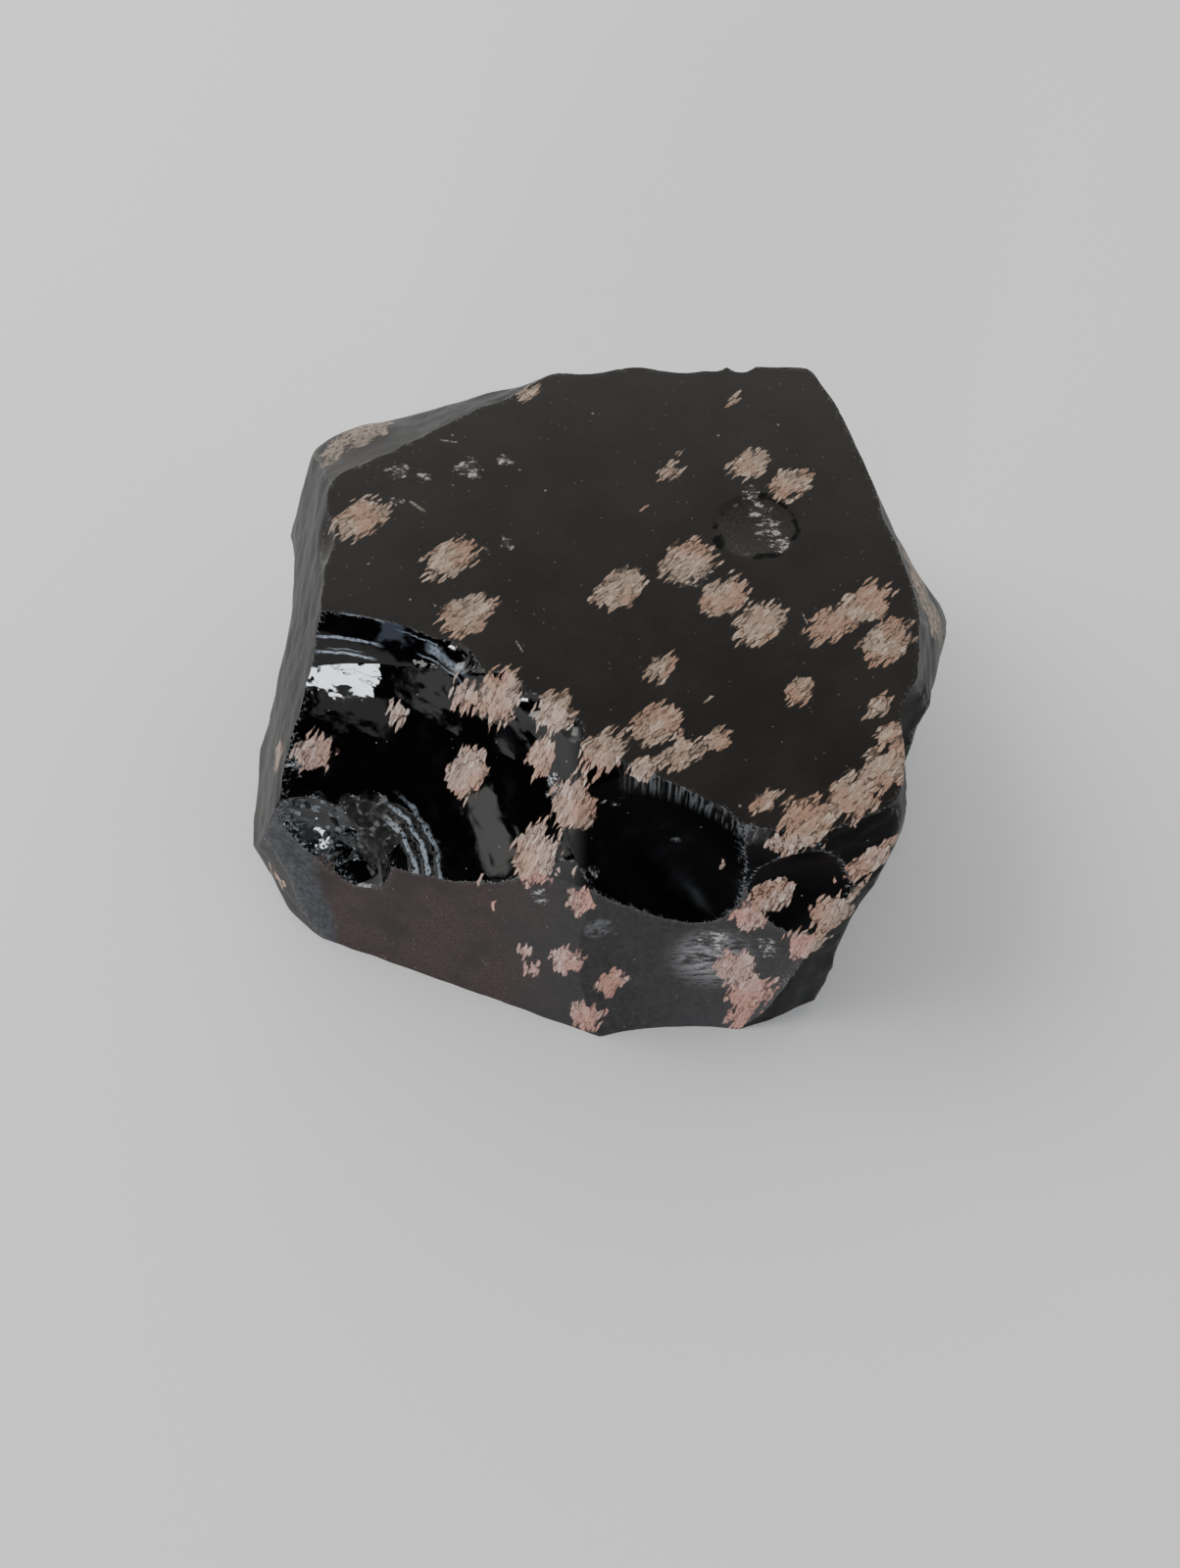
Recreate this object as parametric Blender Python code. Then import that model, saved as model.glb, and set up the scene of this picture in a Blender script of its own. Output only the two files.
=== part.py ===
"""Snowflake obsidian: one broken lump of volcanic glass, about 138 mm long.

The lump is a block trimmed by flats (the sawn top, the resting face, the matt rind along the
front and the steep walls) and then struck by scars, each the bite of a ball or an ellipsoid,
which is how glass breaks.  Metres, +Z up.  The lump rests on z = 0, and the photographed side,
with the two large black scars and the brown rind, faces -Y.
"""
import math

import bmesh
import bpy
from mathutils import Euler, Matrix, Vector

MM = 0.001
HEIGHT = 55.0                       # resting face to sawn top
BLOCK = (190.0, 190.0, 120.0)       # starting block, larger than the lump
HEART = Vector((0.0, 0.0, 22.0))    # point that the flats' distances are measured from
SHIFT = Vector((-2.8, -1.6, 0.0))   # brings the middle of the lump over the origin

# Flats: name, direction the flat faces seen from above (degrees from +X), slope of the flat from
# horizontal (0 is a level top, over 90 leans out over the ground), distance from HEART in mm.
FLATS = (
    ("sawn_top", 0, 0, HEIGHT - 22.0),
    ("resting_face", 0, 180, 22.0),
    ("left_facet", -175, 63, 56.0),
    ("back_left_bevel", 125, 30, 53.5),
    ("brown_rind", -110, 71, 46.7),
    ("left_corner", -132, 81.5, 62.0),
    ("right_corner", -68, 80, 61.0),
    ("right_front_wall", -33.5, 90, 66.8),
    ("right_bevel", -15, 68.5, 64.5),
    ("right_wall", -21.2, 93.5, 60.9),
    ("knob_bevel", 8, 56, 64.5),
    ("knob_end", -2, 96, 70.3),
    ("back_wall", 90, 78, 64.3),
    ("back_foot", 88, 103, 60.5),
    ("back_left_wall", 100, 78, 67.0),
    ("left_foot", -176, 107.5, 66.0),
    ("left_back_foot", 138.5, 96, 73.8),
    ("right_back_foot", 40, 98, 70.0),
)

# Scars: name, centre in mm, radii in mm, turn about Z and tilt in degrees, fineness of the ball.
SCARS = (
    ("rind_hollow", (19, -135.7, 48.5), (90.5, 90.5, 90.5), 0, 0, 6),
    ("first_ledge", (-41, -27.5, 57), (34, 23.5, 8), -20, 0, 5),
    ("left_bowl", (-45.8, -65.6, 84.8), (60, 64, 66), -33, 0, 5),
    ("right_bowl", (-3, -73.5, 97.5), (82, 38.5, 24), 33, 66, 6),
    ("corner_bowl", (34, -71, 40), (26, 26, 26), 0, 0, 5),
    ("glassy_chip_a", (-50, -39.5, 33), (12, 12, 12), 0, 0, 4),
    ("glassy_chip_b", (-44.5, -40, 27), (9, 9, 9), 0, 0, 4),
    ("back_right_a", (100, 75.5, 68.5), (60, 60, 60), 0, 0, 5),
    ("back_right_b", (109, 50, 64), (60, 60, 60), 0, 0, 5),
    ("left_waist", (-109, 18, 24), (50, 50, 50), 0, 0, 5),
    ("top_scallop_a", (-0.7, 68.6, 57), (12, 12, 12), 0, 0, 4),
    ("top_scallop_b", (18.8, 68.7, 58), (12, 12, 12), 0, 0, 4),
    ("right_notch", (61.2, -27.1, 39), (14, 14, 26), 0, 0, 4),
    ("corner_notch", (56.1, -51.2, 18), (12, 12, 24), 0, 0, 4),
    ("strike_pit", (30, 16.2, 115.2), (60.7, 60.7, 60.7), 0, 0, 6),
    ("ridge_chip", (2, -41, 60), (12, 9, 10), -50, 0, 4),
    ("ridge_step", (-7, -50, 47), (10, 9, 9), -20, 0, 4),
    ("bevel_flake_a", (-36, 54, 59), (17, 8, 9), 36, 0, 4),
    ("bevel_flake_b", (-19, 60, 58), (14, 7, 8), 22, 0, 4),
    ("knob_gap", (-40, 66.7, 49), (9, 9, 9), 0, 0, 4),
    ("left_rim_chip", (-52.5, 13, 59), (8, 9, 8), 0, 0, 4),
    ("right_rim_chip_a", (61.5, 33, 57), (8, 9, 8), 0, 0, 4),
    ("right_rim_chip_b", (63, 18.5, 58), (9, 7, 8), 0, 0, 4),
    ("back_bowl_left", (-34, 94, 12), (38, 38, 34), 0, 0, 5),
    ("back_bowl_mid", (14, 108, 20), (50, 46, 40), 20, 0, 5),
    ("back_bowl_right", (64, 90, 14), (36, 36, 32), 0, 0, 5),
    ("back_high_scar", (-8, 86, 40), (34, 24, 20), 8, 0, 5),
    ("right_bowl_back", (94, 30, 4), (36, 40, 34), 0, 0, 5),
    ("right_bowl_front", (86, -26, 2), (32, 34, 34), 0, 0, 5),
    ("right_high_scar", (87, -22, 32), (28, 26, 20), -18, 0, 5),
    ("left_back_bowl", (-92, 62, 6), (38, 38, 36), 0, 0, 5),
    ("left_foot_bowl", (-92, -10, -8), (32, 30, 26), 0, 0, 5),
)


def facing(turn, slope):
    """Outward direction of a flat."""
    a, s = math.radians(turn), math.radians(slope)
    return Vector((math.sin(s) * math.cos(a), math.sin(s) * math.sin(a), math.cos(s)))


def clear_scene():
    for ob in list(bpy.data.objects):
        bpy.data.objects.remove(ob, do_unlink=True)


def stone_material():
    mat = bpy.data.materials.new("snowflake_obsidian")
    mat.use_nodes = True
    shader = mat.node_tree.nodes["Principled BSDF"]
    shader.inputs["Base Color"].default_value = (0.016, 0.014, 0.013, 1.0)
    shader.inputs["Roughness"].default_value = 0.22
    shader.inputs["Metallic"].default_value = 0.0
    mat.diffuse_color = (0.05, 0.045, 0.04, 1.0)
    return mat


def trimmed_block():
    """The block, sliced by every flat and capped where it was sliced."""
    bm = bmesh.new()
    bmesh.ops.create_cube(bm, size=1.0)
    bmesh.ops.scale(bm, vec=Vector(BLOCK) * MM, verts=bm.verts)
    bmesh.ops.translate(bm, vec=HEART * MM, verts=bm.verts)
    for _name, turn, slope, distance in FLATS:
        out = facing(turn, slope)
        everything = bm.verts[:] + bm.edges[:] + bm.faces[:]
        bmesh.ops.bisect_plane(bm, geom=everything, dist=1e-7, clear_outer=True,
                               plane_co=(HEART + out * distance) * MM, plane_no=out)
        rim = [e for e in bm.edges if e.is_boundary]
        if rim:
            bmesh.ops.holes_fill(bm, edges=rim, sides=0)
    bmesh.ops.translate(bm, vec=SHIFT * MM, verts=bm.verts)
    bmesh.ops.recalc_face_normals(bm, faces=bm.faces)
    mesh = bpy.data.meshes.new("obsidian")
    bm.to_mesh(mesh)
    bm.free()
    return mesh


def scar_cutter(name, centre, radii, turn, tilt, fineness):
    """A guide ball or ellipsoid: what the blow took out of the glass."""
    bm = bmesh.new()
    bmesh.ops.create_icosphere(bm, subdivisions=fineness, radius=1.0)
    pose = (Matrix.Rotation(math.radians(turn), 4, "Z")
            @ Matrix.Rotation(math.radians(tilt), 4, "Y")
            @ Matrix.Diagonal((*(Vector(radii) * MM), 1.0)))
    bmesh.ops.transform(bm, matrix=pose, verts=bm.verts)
    mesh = bpy.data.meshes.new(name)
    bm.to_mesh(mesh)
    bm.free()
    cutter = bpy.data.objects.new("cut_" + name, mesh)
    cutter.location = (Vector(centre) + SHIFT) * MM
    cutter.hide_render = True
    cutter.display_type = "WIRE"
    bpy.context.collection.objects.link(cutter)
    return cutter


def build():
    clear_scene()
    stone = bpy.data.objects.new("obsidian", trimmed_block())
    stone.data.materials.append(stone_material())
    bpy.context.collection.objects.link(stone)
    for scar in SCARS:
        cut = stone.modifiers.new(scar[0], "BOOLEAN")
        cut.operation = "DIFFERENCE"
        cut.solver = "EXACT"
        cut.object = scar_cutter(*scar)
    stone.data.shade_smooth()
    stone.data.set_sharp_from_angle(angle=math.radians(24))
    return stone


build()
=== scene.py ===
import math

import bpy
import numpy as np
from mathutils import Matrix, Vector


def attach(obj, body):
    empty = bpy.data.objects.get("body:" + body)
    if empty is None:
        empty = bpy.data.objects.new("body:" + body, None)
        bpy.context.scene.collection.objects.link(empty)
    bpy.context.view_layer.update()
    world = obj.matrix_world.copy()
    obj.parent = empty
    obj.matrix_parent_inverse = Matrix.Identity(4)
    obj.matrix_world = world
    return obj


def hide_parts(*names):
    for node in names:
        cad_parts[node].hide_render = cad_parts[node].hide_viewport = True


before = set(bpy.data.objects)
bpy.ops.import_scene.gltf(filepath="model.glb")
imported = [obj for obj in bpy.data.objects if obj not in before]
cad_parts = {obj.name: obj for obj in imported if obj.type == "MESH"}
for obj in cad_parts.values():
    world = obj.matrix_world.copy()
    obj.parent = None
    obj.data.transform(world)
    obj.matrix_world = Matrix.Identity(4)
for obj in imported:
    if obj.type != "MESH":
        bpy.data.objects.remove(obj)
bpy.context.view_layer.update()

# The stone's flats and scars, in millimetres, as in the CAD model.
HEART = np.array([0.0, 0.0, 22.0])
SHIFT = np.array([-2.8, -1.6, 0.0])

# name, facing, slope, distance from HEART, kind of surface, height of its lumps in mm
FLATS = (
    ("sawn_top", 0, 0, 33.0, "sawn", 0.0),
    ("resting_face", 0, 180, 22.0, "rind", 0.0),
    ("left_facet", -175, 63, 56.0, "satin", 0.8),
    ("back_left_bevel", 125, 30, 53.5, "satin", 0.8),
    ("brown_rind", -110, 71, 46.7, "rind", 0.5),
    ("left_corner", -132, 81.5, 62.0, "satin", 0.8),
    ("right_corner", -68, 80, 61.0, "satin", 0.6),
    ("right_front_wall", -33.5, 90, 66.8, "satin", 0.6),
    ("right_bevel", -15, 68.5, 64.5, "satin", 0.8),
    ("right_wall", -21.2, 93.5, 60.9, "satin", 0.7),
    ("knob_bevel", 8, 56, 64.5, "satin", 0.8),
    ("knob_end", -2, 96, 70.3, "satin", 0.8),
    ("back_wall", 90, 78, 64.3, "satin", 0.7),
    ("back_foot", 88, 103, 60.5, "satin", 0.7),
    ("back_left_wall", 100, 78, 67.0, "satin", 0.7),
    ("left_foot", -176, 107.5, 66.0, "satin", 0.6),
    ("left_back_foot", 138.5, 96, 73.8, "satin", 0.7),
    ("right_back_foot", 40, 98, 70.0, "satin", 0.7),
)
# name, centre, radii, turn about Z, tilt, kind of surface, height of its lumps in mm
SCARS = (
    ("rind_hollow", (19, -135.7, 48.5), (90.5, 90.5, 90.5), 0, 0, "rind", 0.5),
    ("first_ledge", (-41, -27.5, 57), (34, 23.5, 8), -20, 0, "glass", 0.25),
    ("left_bowl", (-45.8, -65.6, 84.8), (60, 64, 66), -33, 0, "glass", 0.35),
    ("right_bowl", (-3, -73.5, 97.5), (82, 38.5, 24), 33, 66, "glass", 0.3),
    ("corner_bowl", (34, -71, 40), (26, 26, 26), 0, 0, "glass", 0.3),
    ("glassy_chip_a", (-50, -39.5, 33), (12, 12, 12), 0, 0, "glass", 0.5),
    ("glassy_chip_b", (-44.5, -40, 27), (9, 9, 9), 0, 0, "glass", 0.5),
    ("back_right_a", (100, 75.5, 68.5), (60, 60, 60), 0, 0, "satin", 0.5),
    ("back_right_b", (109, 50, 64), (60, 60, 60), 0, 0, "satin", 0.5),
    ("left_waist", (-109, 18, 24), (50, 50, 50), 0, 0, "satin", 0.4),
    ("top_scallop_a", (-0.7, 68.6, 57), (12, 12, 12), 0, 0, "satin", 0.2),
    ("top_scallop_b", (18.8, 68.7, 58), (12, 12, 12), 0, 0, "satin", 0.2),
    ("right_notch", (61.2, -27.1, 39), (14, 14, 26), 0, 0, "satin", 0.2),
    ("corner_notch", (56.1, -51.2, 18), (12, 12, 24), 0, 0, "satin", 0.3),
    ("strike_pit", (30, 16.2, 115.2), (60.7, 60.7, 60.7), 0, 0, "sawn", 0.1),
    ("ridge_chip", (2, -41, 60), (12, 9, 10), -50, 0, "glass", 0.3),
    ("ridge_step", (-7, -50, 47), (10, 9, 9), -20, 0, "glass", 0.3),
    ("bevel_flake_a", (-36, 54, 59), (17, 8, 9), 36, 0, "satin", 0.2),
    ("bevel_flake_b", (-19, 60, 58), (14, 7, 8), 22, 0, "satin", 0.2),
    ("knob_gap", (-40, 66.7, 49), (9, 9, 9), 0, 0, "satin", 0.2),
    ("left_rim_chip", (-52.5, 13, 59), (8, 9, 8), 0, 0, "satin", 0.2),
    ("right_rim_chip_a", (61.5, 33, 57), (8, 9, 8), 0, 0, "satin", 0.2),
    ("right_rim_chip_b", (63, 18.5, 58), (9, 7, 8), 0, 0, "satin", 0.2),
    ("back_bowl_left", (-34, 94, 12), (38, 38, 34), 0, 0, "satin", 0.4),
    ("back_bowl_mid", (14, 108, 20), (50, 46, 40), 20, 0, "satin", 0.4),
    ("back_bowl_right", (64, 90, 14), (36, 36, 32), 0, 0, "satin", 0.4),
    ("back_high_scar", (-8, 86, 40), (34, 24, 20), 8, 0, "satin", 0.4),
    ("right_bowl_back", (94, 30, 4), (36, 40, 34), 0, 0, "satin", 0.4),
    ("right_bowl_front", (86, -26, 2), (32, 34, 34), 0, 0, "satin", 0.4),
    ("right_high_scar", (87, -22, 32), (28, 26, 20), -18, 0, "satin", 0.4),
    ("left_back_bowl", (-92, 62, 6), (38, 38, 36), 0, 0, "satin", 0.4),
    ("left_foot_bowl", (-92, -10, -8), (32, 30, 26), 0, 0, "satin", 0.4),
)
# Flakes: centre, radius in mm, and how open the flake is (0 dense, 0.4 only loose strands).
FLAKES = (
    (-12, 51.7, 55, 3.1, 0.1), (-41.8, 18.1, 55, 6.0, 0), (-24.9, 8.7, 55, 5.6, 0),
    (-21, -4.4, 55, 5.6, 0), (-6.4, -24.2, 55, 4.8, 0), (1.9, -31.9, 55, 4.7, 0),
    (5.1, 1.7, 55, 5.5, 0), (14.7, 29.5, 55, 4.3, 0.3), (17.7, 34.9, 55, 1.5, 0),
    (9.5, 20, 55, 1.7, 0.1), (30.1, 31.8, 55, 4.6, 0), (37.4, 26.9, 55, 4.7, 0),
    (28.4, 50, 55, 2.7, 0.15), (17.4, 8, 55, 6.0, 0), (23.3, 0, 55, 5.3, 0), (29.2, -6.1, 55, 5.3, 0),
    (11.8, -15.5, 55, 3.3, 0), (4.9, -18.5, 55, 0.9, 0), (41.0, -6.6, 55, 5.0, 0.05),
    (48, -1.8, 55, 5.3, 0), (44.6, -4.2, 55, 4.2, 0), (39.4, -10.2, 55, 2.2, 0.3),
    (50.2, -10, 55, 5.4, 0), (34.7, -20.1, 55, 4.1, 0.15), (47.2, -23, 55, 2.7, 0),
    (10.9, -26.3, 55, 5.0, 0), (14.3, -32.1, 55, 4.0, 0), (20.3, -29.5, 55, 3.0, 0),
    (8.5, -35, 55, 3.2, 0), (19.2, -22.5, 55, 1.8, 0.35), (27.2, -41.2, 55, 3.2, 0.05),
    (29.7, -36.9, 55, 1.4, 0.35), (40.8, -39.9, 55, 5.0, 0), (46.5, -35, 55, 4.8, 0),
    (33.5, -44.8, 55, 5.6, 0), (48.6, -29.0, 55, 3.6, 0), (-15.1, -18.9, 51.3, 5.5, 0),
    (-20.7, -16.8, 49.4, 4.3, 0.1), (-20.6, -25.4, 38.3, 5.5, 0), (-7.4, -28.2, 47.5, 4.6, 0),
    (-2.6, -36.3, 46, 5.6, 0), (-8.6, -40.9, 36.4, 6.2, 0), (-3.1, -45, 38.9, 1.2, 0),
    (-1.5, -47.8, 32.9, 3.7, 0), (-18.5, -41.8, 29.4, 1.6, 0), (58.5, 8.0, 48.0, 3.6, 0.1),
    (30.2, -46.6, 50, 4.4, 0), (31.4, -46.3, 32.3, 4.9, 0), (27.7, -48.8, 27.2, 4.4, 0),
    (22.7, -43.5, 37.2, 1.6, 0.1), (45.8, -43.4, 41.5, 5.0, 0), (41, -46.1, 37.1, 1.2, 0),
    (44.2, -45.8, 34, 3.4, 0.1), (41.0, -48.6, 29, 4.6, 0), (38.2, -51.4, 22.0, 4.8, 0),
    (-4.4, -52.4, 17.4, 4.3, 0), (-11.6, -50.3, 16.2, 2.3, 0), (-10.6, -52.1, 12.1, 2.9, 0),
    (4.1, -54.3, 11.4, 3.6, 0), (-0.9, -58.6, 4.1, 4.5, 0), (26.4, -52.9, 14.2, 4.8, 0),
    (29.5, -55.8, 8.8, 5.4, 0), (27.8, -58.7, 2.9, 3.5, 0), (-60.5, -33, 10, 3.4, 0.1),
    (-40.1, -45.4, 1.1, 1.8, 0.1), (-17.2, -44.9, 25.1, 2.5, 0.35), (-48.5, -20.7, 37.6, 4.4, 0),
    (-55.7, -17.8, 31.2, 4.4, 0.05), (-33.6, -16, 43.5, 3.8, 0.25), (-66, 20, 14, 4.5, 0),
    (-63, 44, 30, 3.5, 0.1), (-58, 60, 12, 5.0, 0), (-45, 62, 34, 4.0, 0), (-22, 60, 20, 5.2, 0),
    (-12, 58, 32, 4.4, 0), (4, 62, 16, 4.8, 0), (16, 58, 40, 3.6, 0), (34, 60, 26, 5.4, 0),
    (46, 56, 12, 4.6, 0), (58, 42, 30, 5.0, 0), (60, 24, 18, 4.6, 0), (66, 8, 24, 4.2, 0),
    (60, -14, 14, 5.0, 0), (56, -28, 30, 4.4, 0), (50, -38, 10, 4.2, 0), (-62, 2, 8, 3.8, 0),
    (-10, 30, 0, 6, 0), (20, -20, 0, 6.5, 0), (40, 30, 0, 5, 0), (-40, -10, 0, 5.5, 0),
    (-4, -30, 0, 4.6, 0.1), (28, 4, 0, 5.6, 0),
)
# Crushed spots: centre and radius in mm.
CRUSHED = (
    (-35.7, 30.0, 55, 2.4), (-31.5, 29.0, 55, 1.8), (-22.8, 30.7, 55, 2.6), (-16.1, 32.8, 55, 1.6),
    (-35.5, 22.2, 55, 1.2), (-14.9, 11.9, 55, 1.5), (-18.4, 10.8, 55, 1.1), (18.6, 4.9, 55, 2.8),
    (29.6, 24.4, 55, 1.9), (31.0, 20.2, 55, 2.4), (32.2, 16.0, 55, 2.7), (34.0, 12.2, 55, 2.2),
    (22.0, -50.4, 19.5, 3.0), (31.5, -50.6, 19.0, 2.6), (-5.5, -33.5, 46.0, 2.4),
    (4.0, -38.5, 47.0, 2.2), (-52.0, -24.0, 37.5, 2.0), (-9.2, -46.5, 31.0, 1.8), (17.2, 8.2, 55, 2.0),
    (1.0, -44.6, 38.0, 1.4),
)
BLADE = (0.52, 2.3, 2.2)     # a crystal blade's size across the fibres, along them and up, in mm
# Directions across the fibres, along them and up.
FIBRE = (Vector((0.73, -0.68, 0.0)), Vector((0.68, 0.73, 0.0)), Vector((0.0, 0.0, 1.0)))
SQUASH = (1.17, 0.87, 0.95)  # makes a flake narrower across its fibres and longer along them
TRIM = 0.45                  # taken off a flake's radius for the blades that stick out of it, in mm
HALF = (0.5, 0.5, 0.5)       # the middle of a noise's colour
CHIP_SEED, BORDER_SEED, LUMP_SEED = 7, 3, 11
LUMPS = ((0.7, 13.0, 0), (0.3, 4.5, 50), (0.10, 1.9, 90))    # share, width in mm, shift of the seed


# Numbers that look natural
def lattice_noise(p, seed):
    """Smooth noise from about -1 to 1 at the points p, repeating every 256 cells."""
    rng = np.random.default_rng(seed)
    perm = rng.permutation(256)
    arrows = rng.normal(size=(256, 3))
    arrows /= np.linalg.norm(arrows, axis=1)[:, None]
    cell = np.floor(p).astype(int)
    f = p - cell
    w = f * f * f * (f * (f * 6 - 15) + 10)
    total = np.zeros(len(p))
    for dx, dy, dz in np.ndindex(2, 2, 2):
        k = perm[(perm[(cell[:, 0] + dx) & 255] + cell[:, 1] + dy) & 255]
        k = perm[(k + cell[:, 2] + dz) & 255]
        dot = (arrows[k] * (f - (dx, dy, dz))).sum(1)
        total += (dot * np.where(dx, w[:, 0], 1 - w[:, 0]) * np.where(dy, w[:, 1], 1 - w[:, 1])
                  * np.where(dz, w[:, 2], 1 - w[:, 2]))
    return total * 1.6


def lumps(p, seed, height):
    """How far a broken surface is off its ideal shape, in mm."""
    return height * sum(share * lattice_noise(p / width, seed + shift) for share, width, shift in LUMPS)


# The stone's shape
GRAZING = 1e-6      # a ray that turns less than this share of its length to a flat misses it
MISSED = 1e6        # the distance in mm to a shape that a ray misses


class Flat:
    """A flat that trims the stone."""

    def __init__(self, _name, facing, slope, distance, kind, height):
        a, s = math.radians(facing), math.radians(slope)
        self.out = np.array([math.sin(s) * math.cos(a), math.sin(s) * math.sin(a), math.cos(s)])
        self.distance, self.kind, self.height = distance, kind, height

    def reach(self, u):
        """The distance from HEART to the flat, for each direction in u."""
        k = u @ self.out
        return np.where(k > GRAZING, self.distance / np.maximum(k, GRAZING), MISSED)


class Scar:
    """The bite of a ball or ellipsoid."""

    def __init__(self, _name, centre, radii, turn, tilt, kind, height):
        pose = Matrix.Rotation(math.radians(turn), 3, "Z") @ Matrix.Rotation(math.radians(tilt), 3, "Y")
        self.pose = np.array(pose)
        self.centre, self.radii = np.array(centre, float), np.array(radii, float)
        self.kind, self.height = kind, height
        self.start = ((HEART - self.centre) @ self.pose) / self.radii

    def reach(self, u):
        """The distance from HEART to the scar, for each direction in u."""
        d = (u @ self.pose) / self.radii
        a, b, c = (d * d).sum(1), d @ self.start, self.start @ self.start - 1
        inside = b * b - a * c
        return np.where((inside > 0) & (b < 0), (-b - np.sqrt(np.maximum(inside, 0))) / a, MISSED)


# Runs of small chips along the top's rims: from, to, which way they open, how many.
CHIP_RUNS = (
    ((-10, 58.5, 55), (40, 59, 55), (0, 1, 0.3), 4),
    ((6, -35, 55), (27, -48, 55), (-0.4, -1, 0.3), 9),
    ((-26, -8.5, 55), (-2, -27, 55), (-0.4, -1, 0.4), 8),
)


def edge_chips():
    """Small shallow chips along the runs, as (centre, radii)."""
    rng = np.random.default_rng(CHIP_SEED)
    made = []
    for a, b, out, count in CHIP_RUNS:
        a, b, out = np.array(a, float), np.array(b, float), np.array(out, float)
        out /= np.linalg.norm(out)
        for t in (np.arange(count) + rng.uniform(0.0, 1.0, count)) / count:
            size = 1.4 + 2.6 * rng.uniform() ** 2
            deep = rng.uniform(0.05, 0.13) * size
            at = a + (b - a) * t + out * (size - deep)
            radii = [rng.uniform(0.9, 1.6), rng.uniform(0.9, 1.6), rng.uniform(0.8, 1.3)]
            made.append((at, size * np.array(radii)))
    return made


shapes = [Flat(*row) for row in FLATS] + [Scar(*row) for row in SCARS]
shapes += [Scar("chip", centre, radii, 0, 0, "glass", 0.1) for centre, radii in edge_chips()]
KINDS = ("sawn", "glass", "rind", "satin")
GLASS, RIND, SATIN = 1, 2, 3        # places in KINDS
kind_of = np.array([KINDS.index(s.kind) for s in shapes])
LUMP_REACH = 3.0    # a shape's lumps are worked out where it lies within this of the surface, in mm
ROUNDING = 1.1      # how far apart, in mm, two weathered faces still wear each other's edge
FULLER = 0.50       # how far out they stand to make up for it, in mm
RISE = 0.25         # directions that rise less than this have less rounding, and level ones none
KNOB, KNOB_WIDTH, KNOB_HEIGHT = (-46.5, 48, 46), 6.5, 2.8    # a swelling of the weathered faces


def surface(u):
    """Each shape's distance along the directions u, with the lumps, the rounding and the knob."""
    plain = np.stack([s.reach(u) for s in shapes], 1)
    least = plain.min(1)
    for k, s in enumerate(shapes):
        if s.height == 0:
            continue
        near = np.nonzero(plain[:, k] < least + LUMP_REACH)[0]
        if len(near):
            p = HEART + u[near] * plain[near, k][:, None]
            plain[near, k] += lumps(p, LUMP_SEED + 7 * k, s.height)
    weathered = plain[:, kind_of == SATIN]
    crowd = np.exp((weathered.min(1)[:, None] - weathered) / ROUNDING).sum(1)
    rounded = ROUNDING * np.log(crowd) * np.clip(u[:, 2] / RISE, 0, 1)
    plain[:, kind_of == SATIN] += (FULLER - rounded)[:, None]
    toward = np.array(KNOB) - HEART
    off = np.linalg.norm(u * np.linalg.norm(toward) - toward, axis=1)
    plain[:, kind_of == SATIN] += KNOB_HEIGHT * np.exp(-(off / KNOB_WIDTH) ** 2)[:, None]
    return plain


def unit(v):
    """The vectors v, each made one long."""
    return v / np.linalg.norm(v, axis=1)[:, None]


def sphere_of_directions(n):
    """Directions on an icosahedron whose edges are split in n, and their triangles."""
    t = (1 + 5 ** 0.5) / 2
    corner = np.array([(-1, t, 0), (1, t, 0), (-1, -t, 0), (1, -t, 0), (0, -1, t), (0, 1, t),
                       (0, -1, -t), (0, 1, -t), (t, 0, -1), (t, 0, 1), (-t, 0, -1), (-t, 0, 1)])
    sides = ((0, 11, 5), (0, 5, 1), (0, 1, 7), (0, 7, 10), (0, 10, 11), (1, 5, 9), (5, 11, 4),
             (11, 10, 2), (10, 7, 6), (7, 1, 8), (3, 9, 4), (3, 4, 2), (3, 2, 6), (3, 6, 8), (3, 8, 9),
             (4, 9, 5), (2, 4, 11), (6, 2, 10), (8, 6, 7), (9, 8, 1))
    points, tris, seen = [], [], {}
    for a, b, c in sides:
        at = {}
        for i in range(n + 1):
            for j in range(n + 1 - i):
                p = (corner[a] * (n - i - j) + corner[b] * i + corner[c] * j) / n
                key = tuple(np.round(p, 6))
                if key not in seen:
                    seen[key] = len(points)
                    points.append(p)
                at[i, j] = seen[key]
        for i in range(n):
            for j in range(n - i):
                tris.append((at[i, j], at[i + 1, j], at[i, j + 1]))
                if i + j < n - 1:
                    tris.append((at[i + 1, j], at[i + 1, j + 1], at[i, j + 1]))
    points, tris = np.array(points), np.array(tris)
    out = np.cross(points[tris[:, 1]] - points[tris[:, 0]], points[tris[:, 2]] - points[tris[:, 0]])
    turned = (out * points[tris[:, 0]]).sum(1) < 0
    tris[turned] = tris[turned][:, ::-1]
    return unit(points), tris


SPLITS = 84                     # how finely the directions are split
SPREAD = (1.10, 1.05, 0.62)     # spreads the directions evenly over the low, wide stone
LEAN = (0.0, -0.10, 0.13)       # and leans them towards the top and the front
HALVINGS = 9                    # steps in the search for the crease between two directions
END_GAP = 0.06                  # a crease stays this far from both ends of the edge that it cuts


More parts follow.
